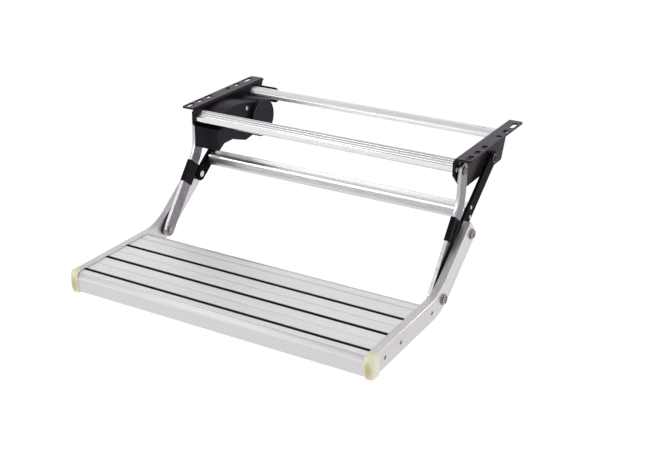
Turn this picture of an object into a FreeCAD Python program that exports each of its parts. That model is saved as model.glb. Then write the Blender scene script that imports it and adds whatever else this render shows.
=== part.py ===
"""Powered fold-away entry step for a caravan, in millimetres.

Row frame: X runs across the doorway, Y runs from the nose of the tread (-Y)
back under the floor (+Y), and Z is up. The origin lies in the mounting plane,
the top of both bracket flanges, midway between the two round bolt holes.

Each outline below is drawn in the side view (Y, Z) and pushed out along X.
Left-hand pieces are mirror images of right-hand ones.
"""
import FreeCAD, Part
import math
import os

V = FreeCAD.Vector

# Tread as a whole
overall_width = 550.0          # over the outer faces of the side channels
tread_depth = 174.5            # nose front to the rear edge of the planks
knee_behind_planks = 54.8      # rear edge of the planks to the knee pivot
knee_to_top = 9.8              # knee pivot below the tread surface

# Pivots in the side view, from the mounting plane and the round bolt holes
arm_pivot_y = -113.0           # front arm on the bracket
arm_pivot_z = -23.7
link_pivot_y = 7.0             # rear link on the bracket, also the drive shaft
link_pivot_z = -41.7
arm_length = 202.0
arm_angle = 241.07             # degrees from +Y towards +Z, from arm pivot to knee pivot
leg_length = 122.7
leg_angle = 36.0               # from knee pivot to leg pivot

# Running and resting clearances
pin_clearance = 0.05           # radial, pin in a turning hole
thrust_gap = 0.3               # between faces that turn past each other
seat_gap = 0.2                 # between pieces that are pushed or slid together
side_clearance = 2.8           # front arm's outer face to the inner wall of a side channel

# Brackets
bracket_sheet = 3.0
bend_radius = 4.5
flange_width = 27.7
flange_front = -130.7
flange_rear = 89.0
flange_corner = 5.0
web_front = -134.5
web_chamfer = 35.5             # along both edges of the sloping front lower corner
web_bottom = -63.2
web_rear_low = 62.0
web_rear_top = 86.0
web_front_corner = 3.0
web_rear_corner = 6.0
hole_inset = 7.5               # hole centres in from the flange's outer edge
slot_width = 9.0
slot_front_y = -116.5
slot_rear_y = 63.0
slot_front_length = 21.0
slot_rear_length = 26.0
oval_length = 16.5
oval_places = (-88.0, -60.0, 27.0)
round_hole = 9.0

# Flat bars
arm_gap = 2.0                  # bracket web to front arm
arm_thickness = 6.5
arm_width = 24.0
arm_bend_up = 56.0             # bend's corner below the arm pivot
arm_bend_forward = 1.5         # and in front of it
arm_bend_radius = 70.0
link_gap = 3.0                 # bracket web to rear link
link_thickness = 5.0
link_width = 25.0
sleeve_wall = 1.0
sleeve_length = 40.0
sleeve_below_bend = 2.5        # sleeve's upper end from where the arm's bend starts

# Side channels, closed box sections open at both ends
channel_height = 34.6
channel_above = 1.6            # channel top above the tread surface
channel_depth = 13.7           # along X
channel_wall = 2.5
channel_inner_wall = 2.0
channel_edge = 2.2             # rounding of the upper outer edge
channel_front = 9.0            # channel's front end behind the nose front
leg_bend_top = 90.0            # radius of the upper edge where the leg turns up
leg_bend_low = 95.0
leg_end_top = 11.5             # leg's end beyond the leg pivot, upper corner
leg_end_low = 13.5             # and lower corner
leg_end_round = 12.0           # rounding of the lower corner

# Planks
plank_wall = 2.0
nose_lift = 0.3                # nose plank's bottom above the channel's bottom
plank_step = 2.7               # other planks' bottom above the nose plank's bottom
nose_chamber_set_back = 6.0
nose_slope = 4.0               # rounded front of the top edge, along Y
nose_line_drop = 6.6           # small step that runs along the nose, below the tread surface
nose_line_height = 2.6
nose_line_depth = 0.6
plank_seams = (46.5, 99.0)     # joints between planks, behind the nose front
rib_pitch = 2.9
rib_height = 0.5
rib_width = 1.7
rib_front = 5.0                # first place for a rib, behind the nose front
rib_clearance = 1.2            # beside grooves
strip_places = (20.0, 73.0, 124.5)
strip_width = 5.5
strip_depth = 2.6
strip_proud = 0.5
strip_round = 0.8
groove_inset = 16.0            # plain groove in front of the planks' rear edge
groove_width = 4.0
groove_depth = 1.2
plank_screw_places = (37.0, 86.0)
plank_screw_drop = 16.0
port_wall = 2.2                # round the screw ports
rail_radius = 8.0
rail_wall = 1.6
rail_gap = 7.5                 # behind the planks

# End caps
cap_front = 3.4                # proud of the nose front
cap_side = 1.8                 # proud of the channel's outer face
cap_rise = 0.6                 # above the channel's top
cap_drop = 3.5                 # below the channel's bottom
cap_back = 18.0
cap_inner = 18.0               # width along X
cap_edge_round = 6.5           # long edges, along Y
cap_front_round = 4.8          # edges of the front
cap_plug_wall = 2.2            # hollow plug inside the channel's end
cap_plug_reach = 14.0
cap_plug_fit = 0.3

# Cross bars: (y, z, corner radius) about each bar's own centre
front_bar_y = -119.5
front_bar_z = -15.7
front_bar_section = [
    (-9.8, 2.8, 2.4), (-9.8, -10.2, 4), (10.5, -10.2, 1.5), (10.5, 8.0, 1.5), (7.8, 8.0, 0.8),
    (4.6, 6.4, 0.2), (4.4, 5.7, 0.1), (3.8, 5.4, 0.1), (3.5, 5.9, 0.2),
    (0.4, 4.3, 0.2), (0.2, 3.6, 0.1), (-0.4, 3.3, 0.1), (-0.7, 3.8, 0.2),
    (-5.4, 2.4, 0.2), (-5.7, 1.6, 0.1), (-6.4, 1.5, 0.1), (-6.6, 2.4, 0.2)]
front_bar_hollow = [(-2.5, -8.2, 1), (8.2, -8.2, 1), (8.2, -1.6, 1), (-2.5, -1.6, 1)]
front_screw_low = (-6.0, -4.3)
front_screw_high = (3.5, 2.7)
rear_bar_y = 49.0
rear_bar_z = -13.5
rear_bar_section = [
    (-9.6, -1.2, 0.6), (-9.6, -5.2, 0.3), (-8.8, -5.6, 0.2), (-8.6, -8.5, 2), (9.6, -8.5, 2), (9.6, 5.5, 1.5),
    (1.5, 5.5, 0), (1.5, 4.3, 0), (-0.5, 4.3, 0), (-0.5, 5.5, 0), (-3.4, 5.5, 1.5), (-8.0, 1.0, 0.2),
    (-7.8, 0.2, 0.1), (-8.5, -0.3, 0.1), (-9.0, -0.2, 0.2)]
rear_bar_hollow = [(-6.4, -6.4, 1), (4.0, -6.4, 1), (4.0, 2.4, 1), (-2.4, 2.4, 1), (-6.0, -1.2, 1)]
rear_screw = (7.0, -3.0)
bar_slot_inset = 22.0          # short slot in the rear bar's top, from the bracket's web
bar_slot_length = 20.0
bar_slot_width = 4.0
bar_slot_depth = 2.0
middle_bar_along = 38.0        # middle bar's centre from the leg pivot back along the link
middle_bar_across = -0.5       # and above the link's centre line
middle_bar_section = [
    (-8.6, 8.5, 2.0), (-10.5, 4.6, 3.0), (-10.5, -3.4, 0.4), (-9.6, -3.8, 0.2), (-9.6, -4.8, 0.2),
    (-10.5, -5.2, 0.4), (-8.8, -11.5, 3), (8.0, -11.5, 1), (8.0, -9.5, 0), (-6.2, -9.5, 0.5),
    (-7.4, -7.0, 1), (-7.4, 4.6, 1.5), (-6.2, 6.5, 0.8), (9.0, 6.5, 0), (9.0, 12.0, 0.5),
    (7.4, 12.0, 0.5), (7.4, 8.5, 0.4)]
bar_end_plate = 1.6
bar_end_width = 19.0
bar_end_reach = (-11.0, 13.0)  # plate's round ends along the link, from the bar's centre
tongue_length = 36.0
tongue_wall = 2.0
tongue_box = (-3.4, 7.0, -8.8, 5.8)
rivet_places = ((5.7, 6.1), (-5.8, -4.7))  # along and across the link, from the bar's centre

# Fasteners
bolt_radius = 5.0
bolt_head_radius = 7.3
bolt_head_height = 2.2
end_head_height = 4.0          # heads outside the side channels
crown_share = 0.45             # rounding of a head, of its height
washer_radius = 9.8
washer_thickness = 1.8
nut_height = 5.0
nut_share = 1.12               # corner radius, of the bolt head's radius
rivet_head_radius = 5.6
rivet_head_height = 1.6
spacer_wall = 2.5
small_screw_radius = 2.0
small_head_radius = 3.6
small_head_height = 1.8
bar_screw_reach = 14.0         # screws from the web's inner face into the bars
bar_head_height = 1.4
front_low_head = 4.2
front_high_head = 2.7
rear_head = 3.4
link_rivet_radius = 3.2
link_rivet_height = 1.3
plank_screw_length = 26.0
plank_screw_head_radius = 4.6
recess_depth = 0.9
recess_share = 1.1             # span of the cross recess, of the head's radius
recess_arm_share = 0.2         # width of its arms, of the span

# Drive housing on the left bracket; depths run inwards from the web's inner face
housing_wall = 2.5
housing_depth = 50.0
housing_back_thickness = 2.0
gear_case_depth = 43.0
gear_case_section = [            # (y, z, corner radius), arched top and a lobe below the gears
    (-108.2, -14.5, 5), (-52.0, -1.6, 150), (22.0, -21.0, 4), (22.0, -70.0, 8), (-8.0, -74.6, 8),
    (-37.0, -79.0, 6), (-70.5, -67.5, 4), (-80.0, -59.7, 2), (-108.2, -59.7, 4)]
gear_case_rim = 2.4
drum_radius = 35.0             # round part under the cap
box_front = -133.0
box_top = -31.0
box_bottom = -70.7
box_chamfer_y = -115.0
box_chamfer_z = -59.7
box_rear = -67.0
box_corner = 2.0
cap_offset_y = 3.0             # round cap from the shaft centre
cap_offset_z = -6.0
cap_thickness = 3.0
cap_edge = 1.2
boss_height = 8.0
boss_wall = 2.5
screw_block_y = -34.0
screw_block_z = -19.0
screw_block_radius = 5.0
lid_width = 27.0
lid_height = 34.0
lid_thickness = 1.5
lid_proud = 0.5
lid_from = 4.5                 # lid's edge from the web
lid_lift = 3.0                 # lid's lower edge above the box's bottom
gland_radius = 5.0
gland_depth = 12.0
gland_y = -98.0
gland_rim = 2.5
gland_bore = 3.0
gland_out = 6.0
gland_flange = 3.0

# Gears, motor and switch inside the housing
gear_module = 1.25
output_teeth = 36
pinion_teeth = 12
tooth_backlash = 0.3
pressure_angle = 20.0
addendum_share = 0.9
dedendum_share = 1.3
root_share = 1.2               # flank's spread at the root, of its spread at the tip
gear_face = 10.0
pinion_short = 0.5             # pinion's teeth in from both faces of the output gear
gear_web_gap = 4.0
pinion_direction = 185.0       # degrees, from the output shaft to the pinion
shaft_radius = 7.0
shaft_bush_wall = 2.0
bush_flange = 3.0
bush_out = 2.0                 # bush proud of the left web's outer face
shaft_head_height = 3.0
shaft_head_round = 1.0
motor_width = 36.0
motor_inwards = 9.0            # motor's middle from the near face of its reduction head
motor_length = 54.0
motor_rest = 0.4               # motor above the housing's floor and below its top
motor_from_front = 7.0         # from the housing's front wall
motor_overlap = 1.0
head_gap = 2.0                 # output gear to the reduction head
head_thickness = 12.0
head_height = 26.0
head_behind_pinion = 9.0
pinion_stub = 3.0
stub_in_head = 7.0
board_thickness = 1.6
board_rest = 0.4
board_edge = 1.0
switch_size = (10.0, 12.0, 9.0)
switch_ahead = 3.0             # switch's front edge ahead of the output shaft
switch_drop = 36.0             # switch's bottom below the output shaft

# Guard plate behind the rear bar
guard_back = 75.0
guard_thickness = 3.0
guard_width = 42.0
guard_top = -10.0
guard_bottom = -38.5
guard_corner = 7.0
guard_foot = 14.0
guard_foot_lift = 8.0
guard_foot_drop = 1.0

# Cutters run past what they cut by this much
past = 1.0


# Places that follow from the sizes above
def polar(centre, radius, degrees):
    angle = math.radians(degrees)
    return (centre[0] + radius * math.cos(angle), centre[1] + radius * math.sin(angle))


def heading(start, stop):
    """Degrees from +Y towards +Z of the way from one side-view point to another."""
    return math.degrees(math.atan2(stop[1] - start[1], stop[0] - start[0]))


side_x = overall_width / 2
channel_inner = side_x - channel_depth
channel_web = side_x - channel_wall
arm_outer = channel_inner - side_clearance
arm_inner = arm_outer - arm_thickness
web_outer = arm_inner - arm_gap
web_inner = web_outer - bracket_sheet
link_inner = web_outer + link_gap
link_outer = link_inner + link_thickness
plank_end = channel_inner - seat_gap
hole_x = web_inner + flange_width - hole_inset

arm_pivot = (arm_pivot_y, arm_pivot_z)
link_pivot = (link_pivot_y, link_pivot_z)
knee_pivot = polar(arm_pivot, arm_length, arm_angle)
leg_pivot = polar(knee_pivot, leg_length, leg_angle)
link_angle = heading(leg_pivot, link_pivot)
arm_corner = (arm_pivot_y - arm_bend_forward, arm_pivot_z - arm_bend_up)
arm_upper_angle = heading(arm_corner, arm_pivot)
arm_lower_angle = heading(knee_pivot, arm_corner)
arm_bend_run = arm_bend_radius * math.tan(math.radians(arm_upper_angle - arm_lower_angle) / 2)
sleeve_top = math.dist(knee_pivot, arm_corner) - arm_bend_run - sleeve_below_bend

nose_y = knee_pivot[0] - knee_behind_planks - tread_depth
tread_z = knee_pivot[1] + knee_to_top
nose_height = channel_height - channel_above - nose_lift
plank_height = nose_height - plank_step
groove_place = tread_depth - groove_inset
rail_place = tread_depth + rail_gap + rail_radius

front_bar = (front_bar_y, front_bar_z)
rear_bar = (rear_bar_y, rear_bar_z)

arm_bolt_seat = arm_outer + thrust_gap
link_bolt_seat = link_outer + thrust_gap
washer_face = side_x + washer_thickness
leg_pin_start = link_outer + link_rivet_height + thrust_gap

cap_centre = (link_pivot_y + cap_offset_y, link_pivot_z + cap_offset_z)
cap_inside = housing_depth - cap_thickness
screw_block = (screw_block_y, screw_block_z)
lid_low = box_bottom + lid_lift
pinion_distance = gear_module * (output_teeth + pinion_teeth) / 2
pinion_centre = polar(link_pivot, pinion_distance, pinion_direction)
bush_radius = shaft_radius + shaft_bush_wall
head_from = gear_web_gap + gear_face + head_gap


# Drawing helpers
def rounded(points):
    """Closed side-view outline from (y, z, corner radius) points."""
    count = len(points)
    ends = []
    for i in range(count):
        y, z, radius = points[i]
        here = V(0, y, z)
        if radius <= 0:
            ends.append((here, None, here))
            continue
        before = V(0, points[i - 1][0], points[i - 1][1])
        after = V(0, points[(i + 1) % count][0], points[(i + 1) % count][1])
        back = (before - here).normalize()
        ahead = (after - here).normalize()
        half = back.getAngle(ahead) / 2
        run = radius / math.tan(half)
        middle = (back + ahead).normalize()
        centre = here + middle * (radius / math.sin(half))
        ends.append((here + back * run, centre - middle * radius, here + ahead * run))
    edges = []
    for i in range(count):
        start, through, stop = ends[i]
        if through is not None:
            edges.append(Part.Arc(start, through, stop).toShape())
        following = ends[(i + 1) % count][0]
        if (following - stop).Length > 0.001:
            edges.append(Part.LineSegment(stop, following).toShape())
    return Part.Face(Part.Wire(Part.__sortEdges__(edges)))


def section(points, centre):
    """Outline from points that are given about a centre."""
    return rounded([(centre[0] + y, centre[1] + z, radius) for y, z, radius in points])


def slab(face, x_from, x_to):
    """Push a side-view face out from x_from to x_to."""
    moved = face.copy()
    moved.translate(V(x_from, 0, 0))
    return moved.extrude(V(x_to - x_from, 0, 0))


def rod(centre, radius, x_from, x_to):
    """Cylinder along X at a side-view point."""
    low, high = min(x_from, x_to), max(x_from, x_to)
    return Part.makeCylinder(radius, high - low, V(low, centre[0], centre[1]), V(1, 0, 0))


def ring(centre, outer, inner, x_from, x_to):
    return rod(centre, outer, x_from, x_to).cut(rod(centre, inner, x_from, x_to))


def brick(x_from, x_to, y_from, y_to, z_from, z_to):
    return Part.makeBox(x_to - x_from, y_to - y_from, z_to - z_from, V(x_from, y_from, z_from))


def mirrored(shape):
    return shape.mirror(V(0, 0, 0), V(1, 0, 0))


def both(shape):
    """The right-hand solid and its mirror image, as one group."""
    return Part.makeCompound([mirrored(shape), shape])


def along(start, degrees, forward, sideways):
    """Side-view point reached from start along a direction and to its left."""
    angle = math.radians(degrees)
    return (start[0] + forward * math.cos(angle) - sideways * math.sin(angle),
            start[1] + forward * math.sin(angle) + sideways * math.cos(angle))


def edges_at(shape, axis, value):
    """Edges whose middle lies at a value on one axis."""
    return [edge for edge in shape.Edges if abs(getattr(edge.CenterOfMass, axis) - value) < 0.001]


def bar_outline(start, stop, width):
    """Straight flat bar with round ends, centred on two points."""
    half = width / 2
    direction = heading(start, stop)
    length = math.dist(start, stop)
    corners = [(-half, -half), (length + half, -half), (length + half, half), (-half, half)]
    return rounded([along(start, direction, f, s) + (half,) for f, s in corners])


def pan_head(centre, x_face, radius, height):
    """Low domed screw or bolt head that stands on x_face, towards +X."""
    head = rod(centre, radius, x_face, x_face + height)
    return head.makeFillet(height * crown_share, edges_at(head, "x", x_face + height))


def cross_recess(centre, x_face, head_radius, deep):
    """Cross-shaped driver recess cut into a face that looks towards +X."""
    reach = head_radius * recess_share / 2
    arm = reach * recess_arm_share
    upright = brick(x_face - deep, x_face + past, centre[0] - arm, centre[0] + arm,
                    centre[1] - reach, centre[1] + reach)
    level = brick(x_face - deep, x_face + past, centre[0] - reach, centre[0] + reach,
                  centre[1] - arm, centre[1] + arm)
    return upright.fuse(level)


# Brackets
def slot_cutter(y, length):
    """Upright cutter for a slot that runs along Y in the right-hand flange."""
    radius = slot_width / 2
    reach = (length - slot_width) / 2
    low = -bracket_sheet - past
    cutter = brick(hole_x - radius, hole_x + radius, y - reach, y + reach, low, past)
    for end in (y - reach, y + reach):
        cutter = cutter.fuse(Part.makeCylinder(radius, past - low, V(hole_x, end, low)))
    return cutter


def bracket_flange():
    """Flange with rounded outer corners and the bend that joins it to the web."""
    flange = brick(web_inner + bend_radius, web_inner + flange_width, flange_front, flange_rear,
                   -bracket_sheet, 0)
    outer = [edge for edge in edges_at(flange, "x", web_inner + flange_width)
             if abs(edge.Length - bracket_sheet) < 0.001]
    flange = flange.makeFillet(flange_corner, outer)
    length = flange_rear - flange_front
    start = V(web_inner + bend_radius, flange_front, -bend_radius)
    bend = Part.makeCylinder(bend_radius, length, start, V(0, 1, 0))
    bend = bend.cut(Part.makeCylinder(bend_radius - bracket_sheet, length, start, V(0, 1, 0)))
    quarter = brick(web_inner, web_inner + bend_radius, flange_front, flange_rear, -bend_radius, 0)
    return flange.fuse(bend.common(quarter))


def right_bracket():
    web = slab(rounded([
        (web_front, -bend_radius, 0), (web_front, web_bottom + web_chamfer, web_front_corner),
        (web_front + web_chamfer, web_bottom, web_front_corner),
        (web_rear_low, web_bottom, web_rear_corner), (web_rear_top, -bend_radius, 0)]), web_inner, web_outer)
    bracket = web.fuse(bracket_flange()).removeSplitter()
    slots = [(slot_front_y, slot_front_length), (slot_rear_y, slot_rear_length)]
    slots += [(y, oval_length) for y in oval_places]
    for y, length in slots:
        bracket = bracket.cut(slot_cutter(y, length))
    bracket = bracket.cut(Part.makeCylinder(round_hole / 2, bracket_sheet + 2 * past,
                                            V(hole_x, 0, -bracket_sheet - past)))
    bracket = bracket.cut(rod(arm_pivot, bolt_radius + pin_clearance, web_inner - past, web_outer + past))
    for centre, head_radius in front_bar_screws + rear_bar_screws:
        bracket = bracket.cut(rod(centre, small_screw_radius + seat_gap, web_inner - past, web_outer + past))
    return bracket


# Cross bars and the screws through the webs: side-view place and head radius
front_bar_screws = [
    ((front_bar_y + front_screw_low[0], front_bar_z + front_screw_low[1]), front_low_head),
    ((front_bar_y + front_screw_high[0], front_bar_z + front_screw_high[1]), front_high_head)]
rear_bar_screws = [((rear_bar_y + rear_screw[0], rear_bar_z + rear_screw[1]), rear_head)]


def cross_bar(outline, hollow, screws):
    end = web_inner - seat_gap
    bar = slab(outline, -end, end).cut(slab(hollow, -end - past, end + past))
    for centre, head_radius in screws:
        hole = rod(centre, small_screw_radius, web_inner - bar_screw_reach, end + past)
        bar = bar.cut(hole).cut(mirrored(hole))
    return bar


def front_cross_bar():
    """Rounded nose low in front, below a sloping top with three steps."""
    return cross_bar(section(front_bar_section, front_bar), section(front_bar_hollow, front_bar),
                     front_bar_screws)


def rear_cross_bar():
    """Grooved bar with a short slot near each end of its top."""
    bar = cross_bar(section(rear_bar_section, rear_bar), section(rear_bar_hollow, rear_bar), rear_bar_screws)
    top = max(z for y, z, radius in rear_bar_section)
    groove = rear_bar_section[6][0]
    slot_end = web_inner - bar_slot_inset
    slot = brick(slot_end - bar_slot_length, slot_end, rear_bar_y + groove - bar_slot_width / 2,
                 rear_bar_y + groove + bar_slot_width / 2, rear_bar_z + top - bar_slot_depth,
                 rear_bar_z + top + past)
    return bar.cut(slot).cut(mirrored(slot))


def bar_screws():
    solids = []
    for centre, head_radius in front_bar_screws + rear_bar_screws:
        screw = pan_head(centre, web_outer, head_radius, bar_head_height)
        screw = screw.cut(cross_recess(centre, web_outer + bar_head_height, head_radius, recess_depth))
        screw = screw.fuse(rod(centre, small_screw_radius, web_inner - bar_screw_reach, web_outer))
        solids += [screw, mirrored(screw)]
    return Part.makeCompound(solids)


# Front arms
def arm_outline():
    """Cranked bar about its centre line, with round ends about both pivots."""
    half = arm_width / 2
    turn = math.radians(arm_upper_angle - arm_lower_angle)
    miter = half * math.tan(turn / 2)
    return rounded([
        along(knee_pivot, arm_lower_angle, -half, -half) + (half,),
        along(arm_corner, arm_lower_angle, miter, -half) + (arm_bend_radius + half,),
        along(arm_pivot, arm_upper_angle, half, -half) + (half,),
        along(arm_pivot, arm_upper_angle, half, half) + (half,),
        along(arm_corner, arm_lower_angle, -miter, half) + (arm_bend_radius - half,),
        along(knee_pivot, arm_lower_angle, -half, half) + (half,)])


def front_arm():
    arm = slab(arm_outline(), arm_inner, arm_outer)
    for pivot in (arm_pivot, knee_pivot):
        arm = arm.cut(rod(pivot, bolt_radius + pin_clearance, arm_inner - past, arm_outer + past))
    return arm


def arm_block(growth, start, stop):
    """Straight length of the arm's lower half, grown all round."""
    half = arm_width / 2 + growth
    corners = [(start, -half), (stop, -half), (stop, half), (start, half)]
    face = rounded([along(knee_pivot, arm_lower_angle, f, s) + (0,) for f, s in corners])
    return slab(face, arm_inner - growth, arm_outer + growth)


def arm_sleeve():
    """Plastic sleeve that is slid on the straight lower half of the arm."""
    start = sleeve_top - sleeve_length
    inside = arm_block(0, start - past, sleeve_top + past)
    return arm_block(sleeve_wall, start, sleeve_top).cut(inside)


# Rear links and the middle bar they carry
middle_bar = along(leg_pivot, link_angle, middle_bar_along, middle_bar_across)
bar_rivets = [along(middle_bar, link_angle, forward, sideways) for forward, sideways in rivet_places]


def rear_link():
    link = slab(bar_outline(link_pivot, leg_pivot, link_width), link_inner, link_outer)
    for pivot in (link_pivot, leg_pivot):
        link = link.cut(rod(pivot, bolt_radius + pin_clearance, link_inner - past, link_outer + past))
    for centre in bar_rivets:
        link = link.cut(rod(centre, small_screw_radius, link_inner - past, link_outer + past))
    return link


def middle_cross_bar():
    """Open extrusion with a lip above a recessed band and a deep lower face."""
    end = link_inner - bar_end_plate - seat_gap
    return slab(section(middle_bar_section, middle_bar), -end, end)


def bar_end():
    """Pressed end bracket: a plate on the link and a tongue inside the bar."""
    plate_from = link_inner - bar_end_plate
    ends = [along(middle_bar, link_angle, reach, 0) for reach in bar_end_reach]
    plate = slab(bar_outline(ends[0], ends[1], bar_end_width), plate_from, link_inner)
    y, z = middle_bar
    front, back, low, high = tongue_box
    start = plate_from - tongue_length
    tongue = brick(start, plate_from, y + front, y + back, z + low, z + high)
    hollow = brick(start - past, plate_from - tongue_wall, y + front + tongue_wall, y + back + past,
                   z + low + tongue_wall, z + high - tongue_wall)
    piece = plate.fuse(tongue.cut(hollow))
    for centre in bar_rivets:
        piece = piece.cut(rod(centre, small_screw_radius, plate_from - tongue_wall, link_inner + past))
    return piece


def bar_end_rivets():
    solids = []
    for centre in bar_rivets:
        head = pan_head(centre, link_outer, link_rivet_radius, link_rivet_height)
        rivet = head.fuse(rod(centre, small_screw_radius, link_inner - bar_end_plate, link_outer))
        solids += [rivet, mirrored(rivet)]
    return Part.makeCompound(solids)


# Side channels: tread side and leg bent from one C section
plank_screw_centres = [(nose_y + place, tread_z - plank_screw_drop)
                       for place in plank_screw_places + (rail_place,)]


def channel_outline(inset, stretch):
    """Side-view outline; inset shrinks it by a wall, stretch opens both ends."""
    half = channel_height / 2 - inset
    middle = tread_z + channel_above - channel_height / 2
    bend_y = knee_pivot[0] - (knee_pivot[1] - middle) / math.tan(math.radians(leg_angle))
    tilt = math.tan(math.radians(leg_angle) / 2) * half
    front = nose_y + channel_front - stretch
    return rounded([
        (front, middle - half, 0), (bend_y + tilt, middle - half, leg_bend_low),
        along(leg_pivot, leg_angle, leg_end_low + stretch, -half) + (leg_end_round,),
        along(leg_pivot, leg_angle, leg_end_top + stretch, half) + (3,),
        (bend_y - tilt, middle + half, leg_bend_top), (front, middle + half, 0)])


def side_channel():
    channel = slab(channel_outline(0, 0), channel_inner, side_x)
    top = tread_z + channel_above
    upper = [edge for edge in edges_at(channel, "x", side_x)
             if abs(edge.BoundBox.ZMin - top) < 0.01 and edge.Length > channel_height]
    channel = channel.makeFillet(channel_edge, upper)
    inside = channel_outline(channel_wall, channel_height)
    channel = channel.cut(slab(inside, channel_inner + channel_inner_wall, channel_web))
    for pivot in (knee_pivot, leg_pivot):
        channel = channel.cut(rod(pivot, bolt_radius + seat_gap, channel_web - past, side_x + past))
        channel = channel.cut(rod(pivot, bolt_radius + spacer_wall + seat_gap, channel_inner - past,
                                  channel_web - past))
    for centre in plank_screw_centres:
        channel = channel.cut(countersunk(centre, seat_gap))
    return channel


def countersunk(centre, growth):
    """Countersunk screw with its head flush in the channel's outer face."""
    cone = Part.makeCone(small_screw_radius + growth, plank_screw_head_radius + growth, channel_wall,
                         V(channel_web, centre[0], centre[1]), V(1, 0, 0))
    return cone.fuse(rod(centre, small_screw_radius + growth, side_x - plank_screw_length, channel_web))


def plank_screws():
    solids = []
    for centre in plank_screw_centres:
        screw = countersunk(centre, 0)
        screw = screw.cut(cross_recess(centre, side_x, plank_screw_head_radius, recess_depth))
        solids += [screw, mirrored(screw)]
    return Part.makeCompound(solids)


# Planks and grip strips
valley_z = tread_z - rib_height


def rib_starts(y_from, y_to):
    """Rib starts on the common pitch, behind the nose front, clear of strips and groove."""
    starts = []
    for i in range(math.ceil(y_from / rib_pitch), math.floor((y_to - rib_width) / rib_pitch) + 1):
        middle = i * rib_pitch + rib_width / 2
        beside_strip = any(abs(middle - place) < strip_width / 2 + seat_gap + rib_clearance + seat_gap
                           for place in strip_places)
        beside_groove = abs(middle - groove_place) < groove_width / 2 + rib_clearance
        if not beside_strip and not beside_groove:
            starts.append(i * rib_pitch)
    return starts


def plank_shell(front, back, low, nose):
    """Solid body of a plank, with the shaped front edge on the nose plank."""
    if not nose:
        return brick(-plank_end, plank_end, front, back, low, valley_z)
    line_top = tread_z - nose_line_drop
    outline = rounded([
        (front, low, 2), (back, low, 0), (back, valley_z, 0), (front + nose_slope, valley_z, 3),
        (front + nose_line_depth, line_top, 1),
        (front + nose_line_depth, line_top - nose_line_height + 2 * nose_line_depth, 0.3),
        (front, line_top - nose_line_height, 0.3)])
    return slab(outline, -plank_end, plank_end)


def plank_chambers(front, back, low, divider, nose):
    """Cutters for the two hollows on either side of the divider."""
    first = front + (nose_chamber_set_back if nose else plank_wall)
    roof = valley_z - plank_wall
    cutters = []
    for y_low, y_high in ((first, divider - plank_wall / 2), (divider + plank_wall / 2, back - plank_wall)):
        cutters.append(brick(-plank_end - past, plank_end + past, y_low, y_high, low + plank_wall, roof))
    return cutters


def with_groove(body, place, half, deep):
    """Cut an open groove along the top, with a bed of one wall round it."""
    centre = nose_y + place
    bed = brick(-plank_end, plank_end, centre - half - plank_wall, centre + half + plank_wall,
                tread_z - deep - plank_wall, valley_z)
    return body.fuse(bed).cut(brick(-plank_end - past, plank_end + past, centre - half, centre + half,
                                    tread_z - deep, tread_z + past))


def plank(y_from, y_to, nose):
    """One ribbed hollow extrusion between two places behind the nose front."""
    low = tread_z - (nose_height if nose else plank_height)
    front = nose_y + y_from
    back = nose_y + y_to
    body = plank_shell(front, back, low, nose)
    first_rib = rib_front if nose else y_from + seat_gap
    ribs = [brick(-plank_end, plank_end, nose_y + y, nose_y + y + rib_width, valley_z - rib_height, tread_z)
            for y in rib_starts(first_rib, y_to - seat_gap)]
    body = body.fuse(ribs).removeSplitter()
    ports = [centre for centre in plank_screw_centres if front < centre[0] < back]
    divider = ports[0][0] if ports else (front + back) / 2
    body = body.cut(plank_chambers(front, back, low, divider, nose))
    for centre in ports:
        body = body.fuse(rod(centre, small_screw_radius + port_wall, -plank_end, plank_end))
        hole = rod(centre, small_screw_radius, side_x - plank_screw_length, plank_end + past)
        body = body.cut([hole, mirrored(hole)])
    for place in strip_places:
        if y_from < place < y_to:
            body = with_groove(body, place, strip_width / 2 + seat_gap, strip_depth)
    if y_from < groove_place < y_to:
        body = with_groove(body, groove_place, groove_width / 2, groove_depth)
    return body


def rear_rail():
    """Round tube behind the planks, held by the last screw of each side."""
    centre = plank_screw_centres[-1]
    tube = ring(centre, rail_radius, rail_radius - rail_wall, -plank_end, plank_end)
    port = ring(centre, small_screw_radius + port_wall, small_screw_radius, -plank_end, plank_end)
    half = rail_wall / 2
    rib = brick(-plank_end, plank_end, centre[0] - rail_radius + half,
                centre[0] - small_screw_radius - port_wall / 2, centre[1] - half, centre[1] + half)
    return tube.fuse([port, rib, rib.mirror(V(0, centre[0], centre[1]), V(0, 1, 0))])


def grip_strip(place):
    """Rubber strip pressed into its groove, with rounded upper edges."""
    start = nose_y + place - strip_width / 2
    top = tread_z + strip_proud
    strip = brick(-plank_end, plank_end, start, start + strip_width, tread_z - strip_depth + seat_gap, top)
    long_edges = [edge for edge in edges_at(strip, "z", top) if edge.Length > plank_end]
    return strip.makeFillet(strip_round, long_edges)


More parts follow.
